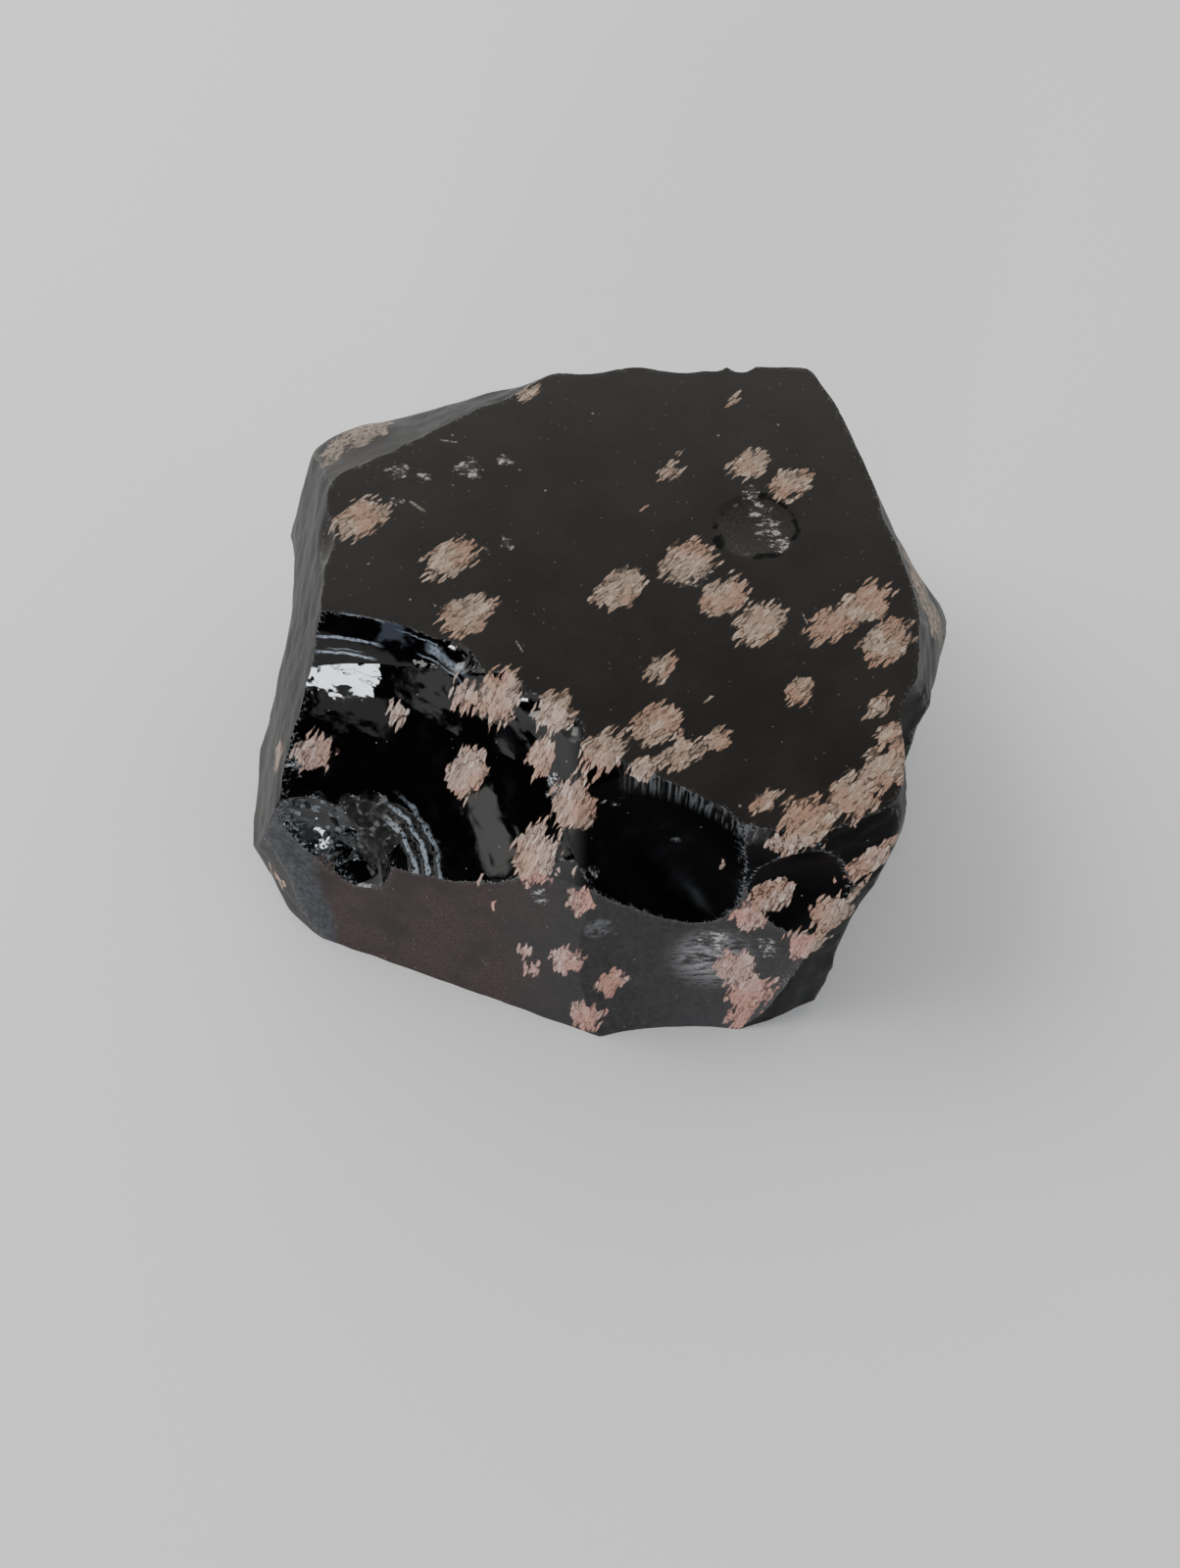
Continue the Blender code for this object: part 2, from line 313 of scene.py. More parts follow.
def carve(n):
    """The stone as points in mm, triangles, the shape that each triangle lies on, and the first
    point that lies on a crease.

    The surface is the nearest shape in each direction.  Where the ends of an edge lie on two shapes,
    the edge is cut at the crease between them, so that every triangle lies on one shape.
    """
    u, tris = sphere_of_directions(n)
    u = unit(u * SPREAD + LEAN)
    reach = surface(u)
    label = reach.argmin(1)
    edges = np.concatenate([tris[:, [0, 1]], tris[:, [1, 2]], tris[:, [2, 0]]])
    edges = np.unique(np.sort(edges, axis=1), axis=0)
    mixed = edges[label[edges[:, 0]] != label[edges[:, 1]]]
    a, b = u[mixed[:, 0]], u[mixed[:, 1]]
    la, lb = label[mixed[:, 0]], label[mixed[:, 1]]
    low, high = np.zeros(len(mixed)), np.ones(len(mixed))
    rows = np.arange(len(mixed))
    for _ in range(HALVINGS):
        mid = (low + high) / 2
        r = surface(unit(a * (1 - mid)[:, None] + b * mid[:, None]))
        first = r[rows, la] < r[rows, lb]
        low, high = np.where(first, mid, low), np.where(first, high, mid)
    mid = np.clip((low + high) / 2, END_GAP, 1 - END_GAP)
    v = unit(a * (1 - mid)[:, None] + b * mid[:, None])
    crossing = {tuple(e): len(u) + i for i, e in enumerate(mixed.tolist())}
    points = [u * reach.min(1)[:, None], v * surface(v).min(1)[:, None]]
    crease = len(u)
    count = len(u) + len(v)
    pure = (label[tris[:, 0]] == label[tris[:, 1]]) & (label[tris[:, 1]] == label[tris[:, 2]])
    faces, owner = tris[pure].tolist(), label[tris[pure][:, 0]].tolist()
    middles = []
    for t in tris[~pure].tolist():
        l = [int(label[i]) for i in t]
        cut = [crossing.get(tuple(sorted((t[i], t[(i + 1) % 3])))) for i in range(3)]
        if len(set(l)) == 3:
            c, count = count, count + 1
            middles.append(u[t].sum(0))
            for i in range(3):
                faces += [(t[i], cut[i], c), (t[i], c, cut[(i + 2) % 3])]
                owner += [l[i]] * 2
        else:
            i = cut.index(None)
            p, q, s = t[i], t[(i + 1) % 3], t[(i + 2) % 3]
            faces += [(p, q, cut[(i + 1) % 3]), (p, cut[(i + 1) % 3], cut[(i + 2) % 3]),
                      (cut[(i + 2) % 3], cut[(i + 1) % 3], s)]
            owner += [l[i], l[i], l[(i + 2) % 3]]
    if middles:
        m = unit(np.array(middles))
        points.append(m * surface(m).min(1)[:, None])
    return np.concatenate(points) + HEART, np.array(faces), np.array(owner), crease


points, faces, owner, crease = carve(SPLITS)

MM = 0.001
RIND_TOP = 36       # height in mm where the rind stops at the front and the black glass starts
SHARP = 26          # angle between faces, in degrees, from which an edge is drawn sharp
FADE, RINGS = 0.55, 2       # share of the wear that the next ring of points has, and how many rings
mesh = bpy.data.meshes.new("obsidian_stone")
mesh.from_pydata(((points + SHIFT) * MM).tolist(), [], faces.tolist())
mesh.update()
stone = bpy.data.objects.new("obsidian_stone", mesh)
bpy.context.collection.objects.link(stone)
kind = kind_of[owner]
x, y, z = points[faces].mean(1).T
kind[(kind == RIND) & (z > RIND_TOP) & (y < 0)] = GLASS
# the front right corner is black glass with a ragged border
border = lattice_noise(np.stack((x, y, z), 1) / 6.0, BORDER_SEED)
kind[(kind == SATIN) & (z > 34 + 7 * border) & (y < -41 + 6 * border) & (x > 0)] = GLASS
mesh.polygons.foreach_set("material_index", kind.astype(np.int32))
mesh.shade_smooth()
mesh.set_sharp_from_angle(angle=math.radians(SHARP))
# wear and painted highlight along the creases: where two kinds of surface meet, or the crease touches a
# weathered face
wear_and_highlight_edges = mesh.attributes.new("wear_and_highlight_edges", "FLOAT", "POINT")
wear_and_highlight = np.zeros(len(points), np.float32)
touches = np.zeros((len(points), len(KINDS)), bool)
for corner in range(3):
    touches[faces[:, corner], kind_of[owner]] = True
on_crease = np.arange(len(points)) >= crease
wear_and_highlight[(touches.sum(1) > 1) | (on_crease & touches[:, SATIN])] = 1.0
for _ in range(RINGS):
    soft = wear_and_highlight.copy()
    for i, j in ((0, 1), (1, 2), (2, 0)):
        np.maximum.at(soft, faces[:, i], wear_and_highlight[faces[:, j]] * FADE)
        np.maximum.at(soft, faces[:, j], wear_and_highlight[faces[:, i]] * FADE)
    wear_and_highlight = soft
wear_and_highlight_edges.data.foreach_set("value", wear_and_highlight)
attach(stone, "root")
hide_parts("obsidian")


# Materials
class Graph:
    """A short way to write shader nodes."""

    def __init__(self, tree):
        self.tree = tree

    def add(self, kind, inputs=(), **settings):
        """A new node; each input is a value or the output that feeds it."""
        node = self.tree.nodes.new(kind)
        for name, value in settings.items():
            setattr(node, name, value)
        for socket, value in (inputs.items() if isinstance(inputs, dict) else enumerate(inputs)):
            if isinstance(value, bpy.types.NodeSocket):
                self.tree.links.new(value, node.inputs[socket])
            elif value is not None:
                node.inputs[socket].default_value = value
        return node

    def math(self, operation, a, b=None, c=None):
        """Arithmetic on numbers."""
        return self.add("ShaderNodeMath", (a, b, c), operation=operation).outputs[0]

    def times(self, first, *others):
        """All the numbers multiplied."""
        for other in others:
            first = self.math("MULTIPLY", first, other)
        return first

    def plus(self, a, b):
        return self.math("ADD", a, b)

    def minus(self, a, b):
        return self.math("SUBTRACT", a, b)

    def around_zero(self, noise):
        """A noise of 0 to 1 brought down to lie around 0."""
        return self.minus(noise, 0.5)

    def vector(self, operation, a, b=None, c=None):
        """Arithmetic on places and directions."""
        node = self.add("ShaderNodeVectorMath", (a, b, c), operation=operation)
        return node.outputs["Value" if operation in ("DISTANCE", "DOT_PRODUCT", "LENGTH") else "Vector"]

    def noise(self, where, scale, detail=2.0, rough=0.5, stretch=None, out=0):
        """Noise of 0 to 1, or a colour with out=1; scale is in waves for each unit of where."""
        if stretch is not None:
            where = self.vector("MULTIPLY", where, stretch)
        inputs = {"Vector": where, "Scale": scale, "Detail": detail, "Roughness": rough}
        return self.add("ShaderNodeTexNoise", inputs).outputs[out]

    def drift(self, where, scale, detail):
        """Noise that pushes a place about, around 0 on each axis."""
        return self.vector("SUBTRACT", self.noise(where, scale, detail, 0.5, out=1), HALF)

    def cells(self, where, scale, feature="F1"):
        """The outputs of a pattern of cells."""
        inputs = {"Vector": where, "Scale": scale}
        return self.add("ShaderNodeTexVoronoi", inputs, feature=feature).outputs

    def split(self, vector):
        """The three parts of a vector or colour."""
        return self.add("ShaderNodeSeparateXYZ", (vector,)).outputs

    def wear_and_highlight(self):
        """1 on the creases of the mesh, where the wear and the painted edge highlights go, 0 away from
        them.
        """
        return self.add("ShaderNodeAttribute", attribute_name="wear_and_highlight_edges").outputs["Fac"]

    def step(self, value, low, high, to_low=0.0, to_high=1.0):
        """The value taken smoothly from low..high to to_low..to_high, and held beyond them."""
        return self.add("ShaderNodeMapRange", (value, low, high, to_low, to_high),
                        interpolation_type="SMOOTHSTEP").outputs[0]

    def span(self, value, rise, fall):
        """0 before the pair rise, 1 between the pairs and 0 again after the pair fall."""
        return self.times(self.step(value, *rise), self.step(value, *fall, 1.0, 0.0))

    def mix(self, amount, a, b):
        """The colour a, with the share amount of the colour b."""
        a, b = ((*colour, 1.0) if isinstance(colour, tuple) else colour for colour in (a, b))
        return self.add("ShaderNodeMix", {0: amount, 6: a, 7: b}, data_type="RGBA").outputs[2]

    def blend(self, amount, a, b):
        """The number a, with the share amount of the number b."""
        return self.add("ShaderNodeMix", {0: amount, 2: a, 3: b}, data_type="FLOAT").outputs[0]

    def bend(self, amount, a, b):
        """The direction a, with the share amount of the direction b."""
        node = self.add("ShaderNodeMix", {0: amount, 4: a, 5: b}, data_type="VECTOR")
        return self.vector("NORMALIZE", node.outputs[1])

    def bump(self, height, strength, depth, normal=None):
        """A normal that stands for a relief; depth is in mm."""
        inputs = {"Height": height, "Strength": strength, "Distance": depth * MM, "Normal": normal}
        return self.add("ShaderNodeBump", inputs).outputs[0]


def along_fibres(g, where):
    """The position as (across the fibres, along them, up)."""
    axes = [g.vector("DOT_PRODUCT", where, tuple(axis)) for axis in FIBRE]
    return g.add("ShaderNodeCombineXYZ", axes).outputs[0]


def flake_spots():
    """The flakes' middles along the fibres and squashed, with their radii and how open they are."""
    for x, y, z, radius, opened in FLAKES:
        along = [axis.dot(Vector((x, y, z))) for axis in FIBRE]
        yield (*(a * b for a, b in zip(along, SQUASH)), radius - TRIM, opened)


def nearest_spot(g, where, spots):
    """Distance to the nearest spot, as a share of its radius, plus how open the spot is."""
    nearest = None
    for x, y, z, radius, *opened in spots:
        far = g.vector("DISTANCE", where, (x, y, z))
        far = g.math("MULTIPLY_ADD", far, 1.0 / radius, opened[0] if opened else 0.0)
        nearest = far if nearest is None else g.math("MINIMUM", nearest, far)
    return nearest


def flake_group():
    """One group that every surface of the stone shares: its crystal flakes and its crushed spots.

    A flake is a crowd of thin blades, all lying the same way.  Each blade is one stretched cell: it
    is there if its middle is near enough to the flake's middle, so that the flake's edge is toothed.
    """
    tree = bpy.data.node_groups.new("flakes", "ShaderNodeTree")
    tree.interface.new_socket("Place", in_out="INPUT", socket_type="NodeSocketVector")
    for name in ("Mask", "Blades", "Crushed", "Crumbs"):
        tree.interface.new_socket(name, in_out="OUTPUT", socket_type="NodeSocketFloat")
    g = Graph(tree)
    place = g.add("NodeGroupInput").outputs[0]
    fibres = along_fibres(g, place)
    # the cells, a little stirred so that the blades aren't straight
    stir = g.drift(fibres, 0.55, 2.0)
    laid = g.vector("DIVIDE", g.vector("MULTIPLY_ADD", stir, (0.8, 1.6, 1.6), fibres), BLADE)
    blade = g.cells(laid, 1.0)
    rim = g.cells(laid, 1.0, "DISTANCE_TO_EDGE")[0]
    middle = g.vector("MULTIPLY", blade["Position"], BLADE)
    wobble = g.drift(middle, 0.30, 1.5)
    where = g.vector("MULTIPLY", g.vector("MULTIPLY_ADD", wobble, (2.2, 2.2, 2.2), middle), SQUASH)
    nearest = nearest_spot(g, where, flake_spots())
    # near a flake's edge each blade draws whether it is there
    draw, shade, _ = g.split(blade["Color"])
    edge = g.step(nearest, 0.45, 1.0)
    there = g.times(g.around_zero(draw), 0.34, edge)
    there = g.math("GREATER_THAN", g.plus(g.minus(0.93, nearest), there), 0.0)
    # dark slits between the blades, wider towards the flake's edge
    slit = g.step(rim, g.times(edge, 0.05), g.math("MULTIPLY_ADD", edge, 0.10, 0.08))
    open_share = g.math("MULTIPLY_ADD", edge, 0.70, 0.22)
    mask = g.times(there, g.minus(1.0, g.times(g.minus(1.0, slit), open_share)))
    fine = g.noise(fibres, 1.0, 2.0, 0.6, (3.4, 0.9, 0.9))
    tone = g.plus(g.times(shade, 0.60), g.times(g.step(fine, 0.32, 0.68), 0.40))
    tone = g.times(tone, g.math("MULTIPLY_ADD", slit, 0.35, 0.65))
    # crushed spots: pale grains with dark gaps
    crumbs = g.noise(place, 1.0, 5.0, 0.75, (0.55, 0.9, 0.9))
    hurt = nearest_spot(g, g.vector("MULTIPLY_ADD", stir, (2.4, 2.4, 2.4), place), CRUSHED)
    hurt = g.plus(g.minus(0.98, hurt), g.times(g.around_zero(crumbs), 2.4))
    g.add("NodeGroupOutput", (mask, tone, g.step(hurt, 0.0, 0.5), g.step(crumbs, 0.42, 0.68)))
    return tree


FLAKE_GROUP = flake_group()


def stone_material(name):
    """A material with the millimetre place and the flakes ready, for the surface kinds to build on."""
    mat = bpy.data.materials.new(name)
    mat.use_nodes = True
    g = Graph(mat.node_tree)
    shader = mat.node_tree.nodes["Principled BSDF"]
    here = g.add("ShaderNodeTexCoord").outputs["Object"]
    place = g.vector("MULTIPLY", here, (1 / MM, 1 / MM, 1 / MM))
    place = g.vector("SUBTRACT", place, tuple(SHIFT.tolist()))
    flakes = g.tree.nodes.new("ShaderNodeGroup")
    flakes.node_tree = FLAKE_GROUP
    g.tree.links.new(place, flakes.inputs[0])
    return mat, g, shader, place, flakes


RUDDY = (1.06, 0.87, 0.80)      # what turns a flake's middle colour ruddy in places
HOLLOW = 0.06                   # how bright the gaps in a crushed spot are, as a share of its grains
FLAKE_GRAIN = 0.15              # depth of the flakes' grain, in mm


def finish_material(g, shader, flakes, place, base, rough, normal, tint, crushed):
    """Lays the crushed spots and the flakes over the ground.

    tint is the three colours of a flake: between its blades, on them and where they are palest.
    """
    mask, blades, hurt, crumbs = flakes.outputs
    dark, mid, pale = tint
    tone = g.noise(place, 0.11, 2.0)
    warm = g.mix(g.step(tone, 0.44, 0.60), mid, tuple(a * b for a, b in zip(mid, RUDDY)))
    colour = g.mix(g.step(blades, 0.10, 0.36), dark, warm)
    lit = g.times(g.step(blades, 0.50, 0.85), g.step(tone, 0.62, 0.44, 0.25, 0.75))
    colour = g.mix(lit, colour, pale)
    broken = g.mix(g.step(crumbs, 0.35, 0.75), tuple(c * HOLLOW for c in crushed), crushed)
    base = g.mix(g.times(hurt, 0.85), base, broken)
    grainy = g.bump(g.noise(place, 2.2, 2.0, 0.6), 0.8, FLAKE_GRAIN, normal)
    for name, value in (("Base Color", g.mix(mask, base, colour)),
                        ("Roughness", g.blend(mask, g.blend(hurt, rough, 0.5), 0.60)),
                        ("Normal", g.bend(g.math("MAXIMUM", mask, hurt), normal, grainy))):
        g.tree.links.new(value, shader.inputs[name])


def facets(g, place, scale, warp):
    """A crumbled surface of small flat facets: the height in mm, each facet tipped its own way, and
    a chance of 0 to 1 for each facet."""
    cells = g.cells(g.vector("MULTIPLY_ADD", warp, (1.2, 1.2, 1.2), place), scale)
    tip = g.vector("SUBTRACT", cells["Color"], HALF)
    height = g.vector("DOT_PRODUCT", g.vector("SUBTRACT", place, cells["Position"]), tip)
    return height, g.split(cells["Color"])[1]


def around(g, place, middle, radius, ragged, soft):
    """1 near the middle and 0 beyond the radius; ragged is a noise in mm that tears the edge."""
    far = g.plus(g.vector("DISTANCE", place, middle), ragged)
    return g.step(far, radius - soft, radius, 1.0, 0.0)


def specks(g, place, scale, size, share):
    """Scattered dots: 1 on a dot, 0 off it."""
    cells = g.cells(place, scale)
    dot = g.step(cells["Distance"], size * 0.5, size, 1.0, 0.0)
    return g.times(dot, g.math("LESS_THAN", g.split(cells["Color"])[0], share))


def line(g, place, a, b, width, fade):
    """A fine scratch from a to b, tapering at both ends: fade on it, 0 off it."""
    a, b = Vector(a), Vector(b)
    length = (b - a).length
    along = tuple((b - a).normalized())
    rest = g.vector("SUBTRACT", place, tuple(a))
    t = g.vector("DOT_PRODUCT", rest, along)
    foot = g.add("ShaderNodeVectorMath", {0: along, "Scale": t}, operation="SCALE").outputs[0]
    off = g.vector("LENGTH", g.vector("SUBTRACT", rest, foot))
    on = g.span(t, (0.0, length * 0.2), (length * 0.8, length))
    return g.times(on, g.step(off, width * 0.3, width, 1.0, 0.0), fade)


# Scratches on the sawn top: from, to, width in mm.
SCRATCHES = (
    ((-33.4, 22.6, 55), (-30.0, 19.5, 55), 0.42), ((-29.0, 38.4, 55), (-25.0, 37.6, 55), 0.3),
    ((-15.8, 13.8, 55), (-14.0, 10.4, 55), 0.3), ((-12.6, -9.6, 55), (-11.2, -12.4, 55), 0.22),
    ((36.5, -3.5, 55), (37.2, -6.5, 55), 0.2),
)
RING_SQUASH, RING_MIDDLE = (1.0, 0.93, 0.0), (30.0, 15.1, 0.0)      # the ring is a little oval
# Colours of the sawn top.
SAWN_DARK = (0.0024, 0.0018, 0.0013)
SAWN_PALE = (0.0074, 0.0058, 0.0042)
SAWN_GRAIN = (0.05, 0.044, 0.037)
SAWN_SPECK = (0.20, 0.18, 0.155)
SAWN_FINE_SPECK = (0.12, 0.105, 0.09)
SCRATCH = (0.24, 0.215, 0.19)
RING_DUST = (0.022, 0.021, 0.015)
RING_CRACK = (0.0004, 0.0004, 0.0004)
RING_GLINT = (0.16, 0.16, 0.15)
SAWN_CHIPS_AND_EDGE_HIGHLIGHT = (0.15, 0.15, 0.14)
SAWN_FLAKE = (0.075, 0.053, 0.039), (0.265, 0.195, 0.150), (0.46, 0.375, 0.305)
SAWN_CRUSHED = (0.40, 0.35, 0.33)


def sawn_material():
    """The sawn top: nearly black, silky, with scratches and the ring crack."""
    mat, g, shader, place, flakes = stone_material("sawn_obsidian")
    cloud = g.noise(place, 0.07, 4.0, 0.6)
    speck = g.noise(place, 2.2, 2.0, 0.6)
    fine = g.noise(place, 5.0, 2.0, 0.6)
    base = g.mix(g.step(cloud, 0.35, 0.65), SAWN_DARK, SAWN_PALE)
    base = g.mix(g.times(g.step(fine, 0.52, 0.72), 0.22), base, SAWN_GRAIN)
    base = g.mix(g.times(specks(g, place, 0.22, 0.075, 0.45), 0.7), base, SAWN_SPECK)
    base = g.mix(g.times(specks(g, place, 0.62, 0.14, 0.35), 0.45), base, SAWN_FINE_SPECK)
    for a, b, width in SCRATCHES:
        scratch = g.times(line(g, place, a, b, width, 0.8), g.step(speck, 0.40, 0.55))
        base = g.mix(scratch, base, SCRATCH)
    # the ring crack around the spot that was struck
    middle = g.vector("DISTANCE", g.vector("MULTIPLY", place, RING_SQUASH), RING_MIDDLE)
    uneven = g.noise(place, 0.16, 3.0, 0.6)
    radius = g.plus(middle, g.times(g.around_zero(uneven), 4.5))
    within = g.step(radius, 6.4, 7.3, 1.0, 0.0)
    dusty = g.times(within, g.times(g.step(speck, 0.40, 0.65), 0.65))
    base = g.mix(dusty, base, RING_DUST)
    ring = g.span(radius, (6.3, 6.8), (7.4, 7.9))
    broken = g.noise(place, 0.20, 1.0)
    crack = g.times(ring, g.step(broken, 0.50, 0.56))
    glint = g.times(ring, g.step(broken, 0.36, 0.42, 1.0, 0.0))
    base = g.mix(crack, base, RING_CRACK)
    base = g.mix(g.times(glint, 0.5), base, RING_GLINT)
    # pale chips along the creases, partly real chips and partly a painted edge highlight
    chips_and_edge_highlight = g.times(g.step(g.wear_and_highlight(), 0.5, 0.95), g.step(speck, 0.50, 0.62))
    base = g.mix(g.times(chips_and_edge_highlight, 0.4), base, SAWN_CHIPS_AND_EDGE_HIGHLIGHT)
    rough = g.plus(g.times(speck, 0.10), g.plus(0.38, g.times(cloud, 0.08)))
    rough = g.blend(crack, rough, 0.9)
    normal = g.bump(g.plus(speck, g.times(crack, -1.5)), 0.20, 0.09)
    shader.inputs["Specular IOR Level"].default_value = 0.15
    finish_material(g, shader, flakes, place, base, rough, normal, SAWN_FLAKE, SAWN_CRUSHED)
    return mat


# Painted highlights along the steps of the upper ledge of the left scar: how far out on the ledge,
# half width as a share of it, from x, to x, brightness.
LEDGE_STEP_HIGHLIGHTS = (
    (0.822, 0.013, -48.0, -35.0, 0.8), (0.722, 0.013, -48.0, -36.0, 0.9),
    (0.75, 0.006, -46.0, -38.0, 0.5), (0.965, 0.010, -44.0, -33.0, 0.6),
    (0.905, 0.035, -28.5, -20.0, 0.6), (0.850, 0.008, -30.0, -20.5, 0.5),
    (0.94, 0.006, -34.0, -24.0, 0.5),
)
# Grey marks on the black scars: from, to, width in mm.
SCAR_MARKS = (
    ((1.0, -43.8, 37.9), (15.0, -39.3, 38.7), 0.3), ((11.6, -40.2, 38.2), (15.4, -39.2, 38.9), 0.8),
    ((4.5, -43.5, 35.0), (12.5, -42.6, 32.0), 0.3), ((-26, -30, 36), (-31, -24, 39), 0.3),
    ((-34, -26, 36), (-38, -22, 38), 0.3),
)
RIPPLE = 2.35       # distance between the ripples at the low corner of the left scar, in mm
# Colours of the black scars, and places on them with their radii in mm.
GLASS_DARK = (0.0010, 0.0010, 0.0012)
GLASS_SMEAR = (0.0040, 0.0040, 0.0048)
GLASS_SPECK = (0.25, 0.25, 0.26)
SPLINTER = (0.026, 0.029, 0.030)
SPLINTER_GLINT = (0.11, 0.125, 0.14)
CRUMB = (0.012, 0.008, 0.0065)
CRUMB_GLINT = (0.11, 0.10, 0.10)
RIPPLE_CREST_HIGHLIGHT = (0.24, 0.28, 0.32)
LEDGE_STEP_HIGHLIGHT = (0.30, 0.35, 0.42)
SHEEN = (0.050, 0.058, 0.075)
HACKLE_AND_REFLECTION = (0.13, 0.135, 0.14)
SCAR_MARK = (0.20, 0.21, 0.215)
GLASS_CHIPS_AND_EDGE_HIGHLIGHT = (0.22, 0.235, 0.25)
GLASS_FLAKE = (0.10, 0.065, 0.05), (0.35, 0.25, 0.20), (0.58, 0.48, 0.41)
GLASS_CRUSHED = (0.42, 0.42, 0.43)
CLEAR_SPOT = (-49.5, -31.0, 27.5), 6.6
LOW_CLEAR_SPOT = (-46.6, -32.5, 23.0), 4.2
CRUMBLED_SPOT = (-40.2, -31.6, 27.5), 7.6
SHEEN_SPOT = (-33.4, -6.6, 54.6), 3.4
RIPPLE_START = (-46.0, -38.5, 19.0)


def glass_material():
    """The fresh scars: black glass with ripples, splinters, steps and hackles; the ripple crests, ledge
    steps, hackles and crease chips carry painted highlights.
    """
    mat, g, shader, place, flakes = stone_material("broken_obsidian")
    x, y, z = g.split(place)
    smear = g.noise(place, 0.16, 3.0, 0.6)
    grit = g.noise(place, 1.7, 3.0, 0.65)
    ragged = g.times(g.around_zero(g.noise(place, 0.30, 3.0, 0.6)), 8.0)
    warp = g.drift(place, 0.8, 2.0)
    base = g.mix(g.step(smear, 0.50, 0.75), GLASS_DARK, GLASS_SMEAR)
    base = g.mix(g.times(specks(g, place, 0.5, 0.10, 0.2), 0.7), base, GLASS_SPECK)
    # the low corner of the left scar: clear splintered glass, dark crumbs beside it, then ripples
    big, which = facets(g, place, 0.30, warp)
    small, chance = facets(g, place, 1.15, warp)
    clear = g.math("MAXIMUM", around(g, place, *CLEAR_SPOT, ragged, 1.0),
                   around(g, place, *LOW_CLEAR_SPOT, ragged, 1.0))
    crumbs = around(g, place, *CRUMBLED_SPOT, ragged, 1.2)
    crumbs = g.times(crumbs, g.minus(1.0, clear))
    base = g.mix(g.times(clear, g.step(which, 0.25, 0.85)), base, SPLINTER)
    base = g.mix(g.times(clear, g.step(chance, 0.93, 0.98)), base, SPLINTER_GLINT)
    base = g.mix(g.times(crumbs, g.step(grit, 0.44, 0.60)), base, CRUMB)
    base = g.mix(g.times(crumbs, g.step(chance, 0.92, 0.97)), base, CRUMB_GLINT)
    start = g.vector("DISTANCE", place, RIPPLE_START)
    bent = g.plus(start, g.times(g.around_zero(g.noise(place, 0.40, 2.0)), 2.0))
    wave = g.math("ABSOLUTE", g.math("SINE", g.times(g.minus(bent, 15.6), math.pi / RIPPLE)))
    band = g.times(g.span(bent, (15.0, 16.2), (20.4, 23.4)),
                   g.times(g.step(x, -37.5, -35.0), g.step(y, -26.5, -30.0)))
    # painted highlight: the ripple crests are painted bright bluish white for the glints they catch
    crest_highlight = g.times(band, g.step(wave, 0.78, 0.97), g.step(grit, 0.36, 0.52))
    base = g.mix(g.times(crest_highlight, 0.9), base, RIPPLE_CREST_HIGHLIGHT)
    # painted highlights on the steps along the upper ledge of the left scar, which are rings around the
    # ledge's own middle
    _, centre, radii, turn, *_ = next(row for row in SCARS if row[0] == "first_ledge")
    off = g.vector("SUBTRACT", place, (float(centre[0]), float(centre[1]), 0.0))
    turned = g.add("ShaderNodeVectorRotate", {"Vector": off, "Angle": math.radians(-turn)},
                   rotation_type="Z_AXIS").outputs[0]
    level = g.vector("LENGTH", g.vector("MULTIPLY", turned, (1 / radii[0], 1 / radii[1], 0.0)))
    level = g.plus(level, g.times(g.around_zero(g.noise(place, 0.5, 2.0)), 0.03))
    for at, width, first, last, shine in LEDGE_STEP_HIGHLIGHTS:
        lit = g.step(g.math("ABSOLUTE", g.minus(level, at)), width * 0.4, width, shine, 0.0)
        lit = g.times(lit, g.span(x, (first, first + 2.0), (last - 3.0, last)))
        lit = g.times(lit, g.times(g.step(grit, 0.28, 0.55), g.step(z, 49.5, 50.5)))
        base = g.mix(lit, base, LEDGE_STEP_HIGHLIGHT)
    sheen = around(g, place, *SHEEN_SPOT, ragged, 1.6)
    base = g.mix(g.times(sheen, 0.7), base, SHEEN)
    # hackles under the rim of the right scar, painted pale: real hackle lines with a painted reflection
    # of the room on them
    under = g.times(g.step(z, 48.0, 52.0), g.step(x, 4.0, 8.0), g.step(x, 25.0, 28.5, 1.0, 0.0))
    hatch = g.noise(place, 1.0, 1.0, 0.5, (2.3, 1.2, 0.10))
    hackle_and_reflection = g.times(under, g.step(hatch, 0.49, 0.60))
    base = g.mix(g.times(hackle_and_reflection, 0.55), base, HACKLE_AND_REFLECTION)
    for a, b, width in SCAR_MARKS:
        mark = g.times(line(g, place, a, b, width, 0.5), g.step(grit, 0.36, 0.52))
        base = g.mix(mark, base, SCAR_MARK)
    # pale chips along the creases, partly real chips and partly a painted edge highlight
    chips_and_edge_highlight = g.times(g.step(g.wear_and_highlight(), 0.5, 0.95), g.step(grit, 0.50, 0.60))
    base = g.mix(g.times(chips_and_edge_highlight, 0.6), base, GLASS_CHIPS_AND_EDGE_HIGHLIGHT)
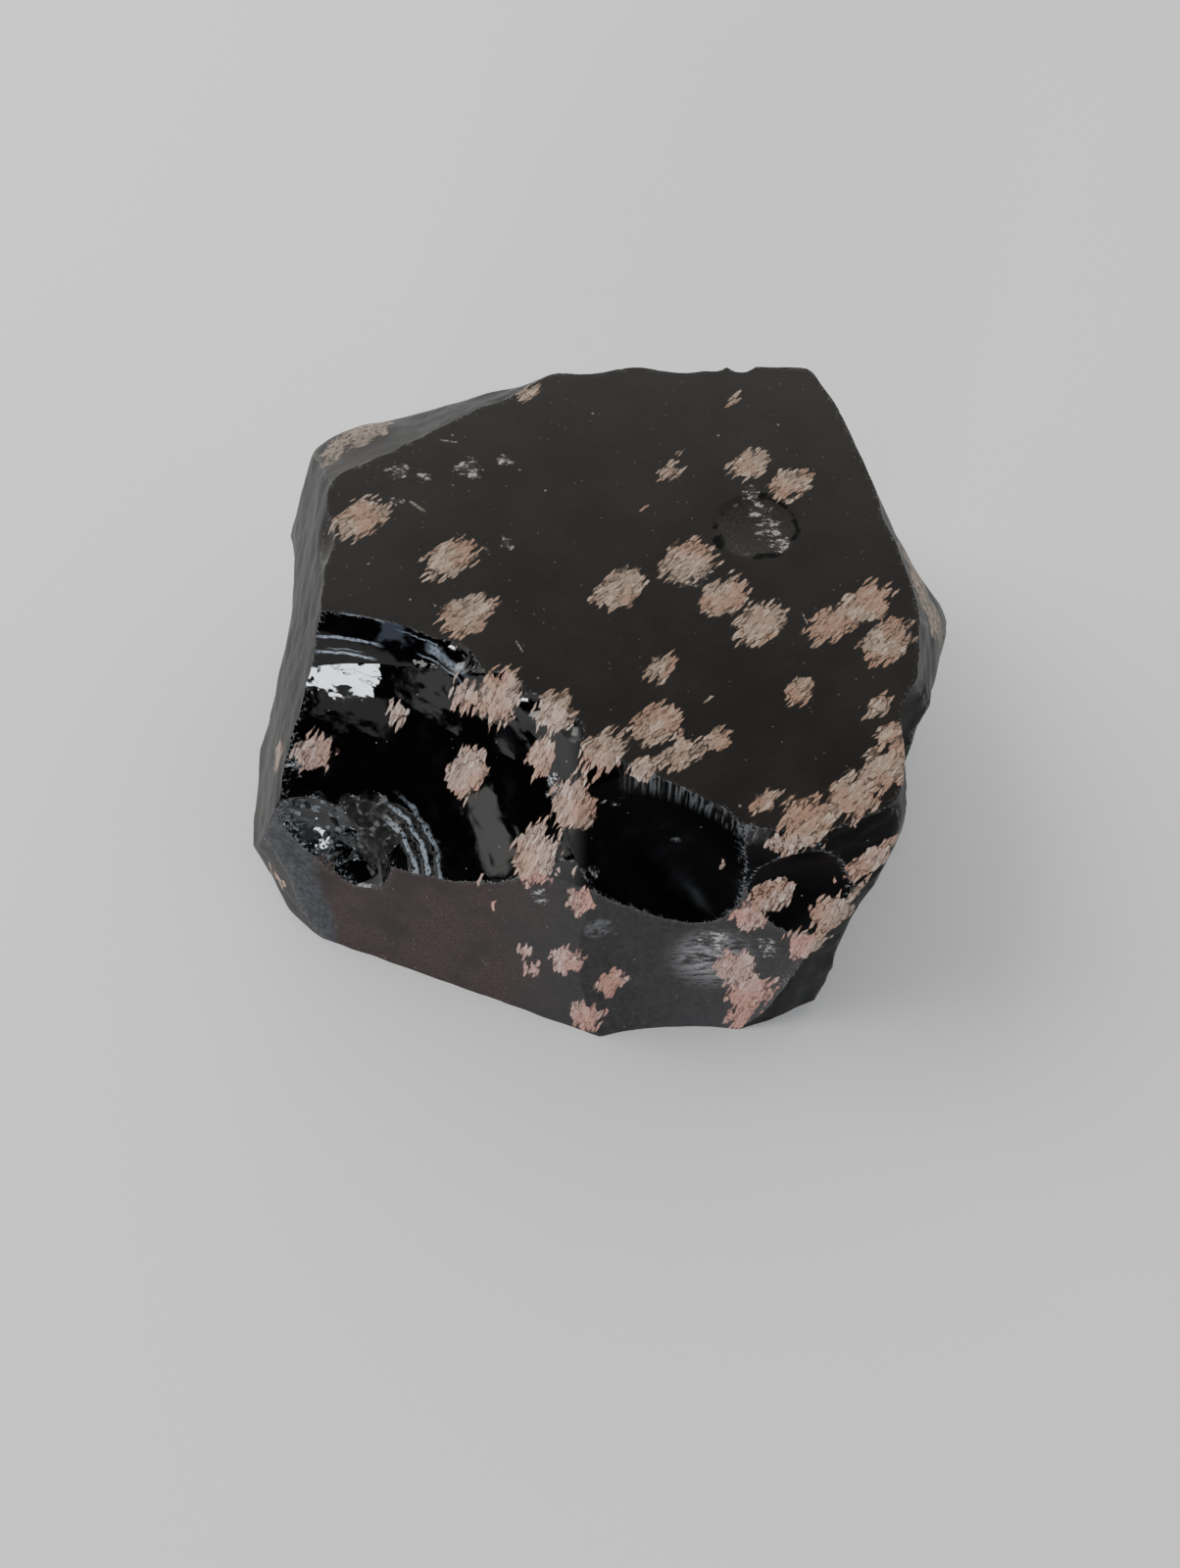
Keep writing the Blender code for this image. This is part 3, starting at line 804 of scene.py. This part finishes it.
    # the right scar is duller than the left one
    dull = g.step(x, -4.0, 0.0)
    rough = g.plus(0.03, g.times(g.step(smear, 0.45, 0.72), 0.09))
    rough = g.blend(dull, rough, 0.30)
    rough = g.blend(clear, rough, 0.10)
    rough = g.blend(crumbs, rough, 0.36)
    normal = g.bump(g.times(band, wave), 1.0, 0.4)
    normal = g.bump(g.times(clear, big), 1.0, 0.5, normal)
    broken = g.math("MAXIMUM", g.times(clear, 0.25), g.times(crumbs, 0.6))
    normal = g.bump(g.times(broken, small), 1.0, 0.8, normal)
    normal = g.bump(g.times(under, hatch), 1.0, 0.45, normal)
    normal = g.bump(g.noise(place, 0.30, 2.0, 0.5), 0.5, 0.12, normal)
    gloss = g.blend(dull, 0.5, g.blend(under, 0.02, 0.22))
    mat.node_tree.links.new(gloss, shader.inputs["Specular IOR Level"])
    finish_material(g, shader, flakes, place, base, rough, normal, GLASS_FLAKE, GLASS_CRUSHED)
    return mat


# Colours of the weathered faces, and the two knobs with their crusts' radii in mm.
SATIN_DARK = (0.0052, 0.0052, 0.0050)
SATIN_PALE = (0.0125, 0.0125, 0.0120)
SATIN_STREAK_AND_SHEEN = (0.036, 0.036, 0.034)
LEFT_SIDE = (0.019, 0.0165, 0.0150)
LEFT_FOOT = (0.030, 0.029, 0.027)
FAR_BEVEL = (0.004, 0.004, 0.0036)
THIN_EDGE = (0.110, 0.114, 0.100)
CRUST_DARK = (0.080, 0.072, 0.060)
CRUST_PALE = (0.34, 0.275, 0.225)
CRUST_GREY = (0.115, 0.118, 0.105)
NICK_AND_EDGE_HIGHLIGHT = (0.30, 0.30, 0.28)
SATIN_FLAKE = (0.10, 0.075, 0.06), (0.30, 0.225, 0.175), (0.46, 0.37, 0.31)
SATIN_CRUSHED = (0.21, 0.185, 0.165)
LEFT_KNOB = (-46.0, 47.5, 47.0), 8.0
RIGHT_KNOB = (62.5, 8.0, 45.0), 11.5


def satin_material():
    """The weathered side faces: grey, silky, paler where the glass thins out at an edge."""
    mat, g, shader, place, flakes = stone_material("weathered_obsidian")
    x, y, z = g.split(place)
    cloud = g.noise(place, 0.10, 3.0, 0.6)
    streak = g.noise(place, 1.0, 1.5, 0.5, (0.20, 0.13, 0.06))
    flute = g.noise(place, 1.0, 1.0, 0.4, (0.13, 0.022, 0.17))
    fine = g.noise(place, 2.6, 3.0, 0.65)
    left = g.step(x, -36.0, -42.0)
    soft = g.blend(left, streak, g.math("MULTIPLY_ADD", flute, 0.6, 0.2))
    base = g.mix(g.step(cloud, 0.36, 0.64), SATIN_DARK, SATIN_PALE)
    # pale streaks: partly real flow lines, partly a painted sheen, stronger away from the left side
    silky = g.times(g.step(soft, 0.46, 0.66), g.blend(left, 0.5, 0.15))
    base = g.mix(silky, base, SATIN_STREAK_AND_SHEEN)
    base = g.mix(g.times(left, 0.6), base, LEFT_SIDE)
    # the left side pales towards its foot, and the far bevel is darker glass
    level = g.math("MULTIPLY_ADD", cloud, 24.0, z)
    base = g.mix(g.times(left, g.step(level, 50.0, 28.0)), base, LEFT_FOOT)
    base = g.mix(g.times(g.step(y, 44.0, 50.0), 0.65), base, FAR_BEVEL)
    wear_and_highlight_edges = g.wear_and_highlight()
    patchy = g.noise(place, 0.07, 2.0, 0.6)
    thin = g.times(g.step(wear_and_highlight_edges, 0.15, 1.0), g.times(g.step(patchy, 0.46, 0.62), g.step(z, 18.0, 44.0)))
    base = g.mix(g.times(thin, 0.55), base, THIN_EDGE)
    # the two knobs have a crust of grey and tan grains
    ragged = g.times(g.around_zero(g.noise(place, 0.13, 4.0, 0.65)), 30.0)
    crust = g.math("MAXIMUM", around(g, place, *LEFT_KNOB, ragged, 2.5),
                   around(g, place, *RIGHT_KNOB, ragged, 2.5))
    grains = g.noise(place, 1.0, 4.0, 0.7)
    crusty = g.mix(g.step(grains, 0.38, 0.58), CRUST_DARK, CRUST_PALE)
    crusty = g.mix(g.times(g.step(cloud, 0.5, 0.62), 0.6), crusty, CRUST_GREY)
    base = g.mix(g.times(crust, g.blend(left, 1.0, 0.75)), base, crusty)
    # pale nicks along the creases, partly real nicks and partly a painted edge highlight
    nick_and_edge_highlight = g.times(g.step(wear_and_highlight_edges, 0.6, 0.95), g.step(fine, 0.52, 0.62))
    base = g.mix(g.times(nick_and_edge_highlight, 0.5), base, NICK_AND_EDGE_HIGHLIGHT)
    rough = g.plus(g.blend(crust, 0.36, 0.5), g.times(fine, 0.14))
    normal = g.bump(g.times(soft, g.blend(left, 1.0, 0.12)), 0.8, 1.0)
    normal = g.bump(g.plus(g.times(streak, 0.6), g.times(fine, 0.35)), 0.4, 0.18, normal)
    normal = g.bump(g.times(crust, grains), 0.8, 0.7, normal)
    shader.inputs["Specular IOR Level"].default_value = 0.08
    finish_material(g, shader, flakes, place, base, rough, normal, SATIN_FLAKE, SATIN_CRUSHED)
    return mat


# Colours of the rind, and places on it, one with its radius in mm.
BROWN_DARK = (0.027, 0.0160, 0.0140)
BROWN_PALE = (0.056, 0.0355, 0.0315)
BROWN_CLOUD = (0.026, 0.0175, 0.0160)
GREY_DARK = (0.0100, 0.0085, 0.0086)
GREY_PALE = (0.027, 0.0230, 0.0228)
SLATE_DARK = (0.016, 0.017, 0.019)
SLATE_PALE = (0.040, 0.043, 0.050)
RIND_SPECK = (0.16, 0.14, 0.125)
DUST = (0.32, 0.305, 0.31)
BRUISE = (0.13, 0.135, 0.14)
RUBBED_EDGE = (0.17, 0.15, 0.14)
RIND_FLAKE = (0.16, 0.085, 0.068), (0.40, 0.245, 0.205), (0.54, 0.40, 0.345)
RIND_CRUSHED = (0.36, 0.34, 0.335)
DUST_SPOT = (22.0, -51.5, 16.0), 10.0
BRUISE_SPOT = (1.5, -49.9, 25.8)


def rind_material():
    """The rind: brown and matt, grey towards the right, with a dusty patch and a bruise."""
    mat, g, shader, place, flakes = stone_material("brown_rind")
    cloud = g.noise(place, 0.09, 4.0, 0.6)
    fine = g.noise(place, 2.6, 3.0, 0.65)
    pore = g.noise(place, 0.9, 3.0, 0.6)
    x = g.split(place)[0]
    edge = g.plus(x, g.times(g.around_zero(cloud), 30.0))
    to_grey = g.step(edge, -20.0, -4.0)
    brown = g.mix(g.step(fine, 0.35, 0.68), BROWN_DARK, BROWN_PALE)
    brown = g.mix(g.step(cloud, 0.45, 0.62), brown, BROWN_CLOUD)
    grey = g.mix(g.step(pore, 0.35, 0.65), GREY_DARK, GREY_PALE)
    base = g.mix(to_grey, brown, grey)
    ragged = g.times(g.around_zero(cloud), 7.0)
    side = g.step(g.plus(x, ragged), -49.0, -52.0)
    slate = g.mix(g.step(pore, 0.40, 0.62), SLATE_DARK, SLATE_PALE)
    base = g.mix(side, base, slate)
    base = g.mix(g.times(specks(g, place, 0.5, 0.15, 0.3), 0.4), base, RIND_SPECK)
    # a dusty, bruised patch that is rubbed out sideways, and a small round bruise
    rubbed = g.noise(place, 1.0, 4.0, 0.65, (0.32, 1.0, 1.3))
    ragged = g.times(g.around_zero(rubbed), 16.0)
    dust = around(g, place, *DUST_SPOT, ragged, 7.0)
    dust = g.times(dust, g.step(rubbed, 0.40, 0.64))
    base = g.mix(g.times(dust, 0.9), base, DUST)
    spot = g.vector("DISTANCE", place, BRUISE_SPOT)
    bruise = g.times(g.step(spot, 1.9, 3.0, 1.0, 0.0), g.step(pore, 0.38, 0.58))
    base = g.mix(g.times(bruise, 0.6), base, BRUISE)
    rubbed_edge = g.times(g.step(g.wear_and_highlight(), 0.1, 0.9), g.step(fine, 0.46, 0.60), 0.5)
    base = g.mix(rubbed_edge, base, RUBBED_EDGE)
    rough = g.blend(side, g.blend(to_grey, 0.72, g.blend(g.step(pore, 0.4, 0.6), 0.42, 0.6)), 0.40)
    normal = g.bump(g.plus(fine, g.times(pore, 1.5)), 0.35, 0.18)
    shader.inputs["Specular IOR Level"].default_value = 0.28
    finish_material(g, shader, flakes, place, base, rough, normal, RIND_FLAKE, RIND_CRUSHED)
    return mat


for make in (sawn_material, glass_material, rind_material, satin_material):
    mesh.materials.append(make())


# Floor, light and camera
def pale_floor():
    floor_mesh = bpy.data.meshes.new("floor")
    floor_mesh.from_pydata([(-3, -3, 0), (3, -3, 0), (3, 3, 0), (-3, 3, 0)], [], [(0, 1, 2, 3)])
    floor = bpy.data.objects.new("floor", floor_mesh)
    bpy.context.collection.objects.link(floor)
    mat = bpy.data.materials.new("pale_floor")
    mat.use_nodes = True
    shader = mat.node_tree.nodes["Principled BSDF"]
    shader.inputs["Base Color"].default_value = (0.78, 0.79, 0.81, 1)
    shader.inputs["Roughness"].default_value = 0.8
    shader.inputs["Specular IOR Level"].default_value = 0.2
    floor_mesh.materials.append(mat)


def patch(g, turn, rise, left, right, low, high, soft):
    """1 inside a patch of the room, given in degrees around and up, and 0 outside it."""
    across = g.span(turn, (left - soft, left), (right, right + soft))
    up = g.span(rise, (low - soft, low), (high, high + soft))
    return g.times(across, up)


# Patches of the room, in degrees: from and to around, from and to up, softness of the edge.
DARK_SIDE = (-173.0, -52.0, -4.0, 62.0, 6.0)
WINDOW = (-110.5, -95.5, 0.6, 12.3, 0.5)
WINDOW_BAR = (-180.0, 0.0, 6.7, 7.1, 0.3)
NEAR_WINDOW = (
    ((-116.0, -96.0, 14.0, 19.5, 2.2), 0.60), ((-133.0, -122.0, 2.5, 5.5, 3.0), 1.0),
    ((-169.0, -152.0, 17.0, 23.0, 4.5), 1.6),
)
DARK_LEVEL, ROOM_LEVEL, WINDOW_LEVEL = 0.012, 1.08, 40.0


def soft_room():
    """A pale room, brightest behind the stone and dark in front of it, where a low window and a few
    soft patches are seen in the black glass."""
    world = bpy.data.worlds.new("soft_room")
    bpy.context.scene.world = world
    world.use_nodes = True
    g = Graph(world.node_tree)
    back = world.node_tree.nodes["Background"]
    way = g.add("ShaderNodeTexCoord").outputs["Generated"]
    x, y, z = g.split(way)
    turn = g.times(g.math("ARCTAN2", y, x), 180 / math.pi)
    rise = g.times(g.math("ARCSINE", z), 180 / math.pi)
    room = g.times(g.step(rise, 42.0, 66.0, 1.0, 0.62), g.step(x, -0.6, 0.9, 1.08, 0.80))
    room = g.plus(room, g.times(g.step(y, 0.25, 0.75), g.step(rise, 34.0, 56.0, 1.10, 0.0)))
    room = g.blend(patch(g, turn, rise, *DARK_SIDE), room, DARK_LEVEL)
    for edges, level in NEAR_WINDOW:
        room = g.math("MAXIMUM", room, g.times(patch(g, turn, rise, *edges), level))
    pane = patch(g, turn, rise, *WINDOW)
    pane = g.times(pane, g.minus(1.0, patch(g, turn, rise, *WINDOW_BAR)))
    colour = g.mix(pane, (1.0, 0.985, 0.965), (0.86, 0.93, 1.0))
    strength = g.plus(g.times(room, ROOM_LEVEL), g.times(pane, WINDOW_LEVEL))
    world.node_tree.links.new(colour, back.inputs[0])
    world.node_tree.links.new(strength, back.inputs[1])


def area_light(name, place, aim, size, power, colour):
    data = bpy.data.lights.new(name, "AREA")
    data.shape, data.size, data.size_y = "RECTANGLE", size[0], size[1]
    data.energy, data.color = power, colour
    lamp = bpy.data.objects.new(name, data)
    lamp.location = place
    lamp.rotation_euler = (Vector(aim) - Vector(place)).to_track_quat("-Z", "Y").to_euler()
    bpy.context.collection.objects.link(lamp)


pale_floor()
soft_room()
area_light("soft_key", (-0.9, 0.35, 0.95), (0, 0, 0), (0.8, 0.8), 11.0, (1.0, 0.99, 0.97))

lens = bpy.data.cameras.new("camera")
lens.lens, lens.sensor_width, lens.sensor_fit = 25.0, 36.0, "AUTO"
lens.clip_start = 0.01
camera = bpy.data.objects.new("camera", lens)
camera.location = (-0.0028, -0.1248, 0.20229)
camera.rotation_euler = (math.radians(30.1), 0, 0)
bpy.context.collection.objects.link(camera)
bpy.context.scene.camera = camera
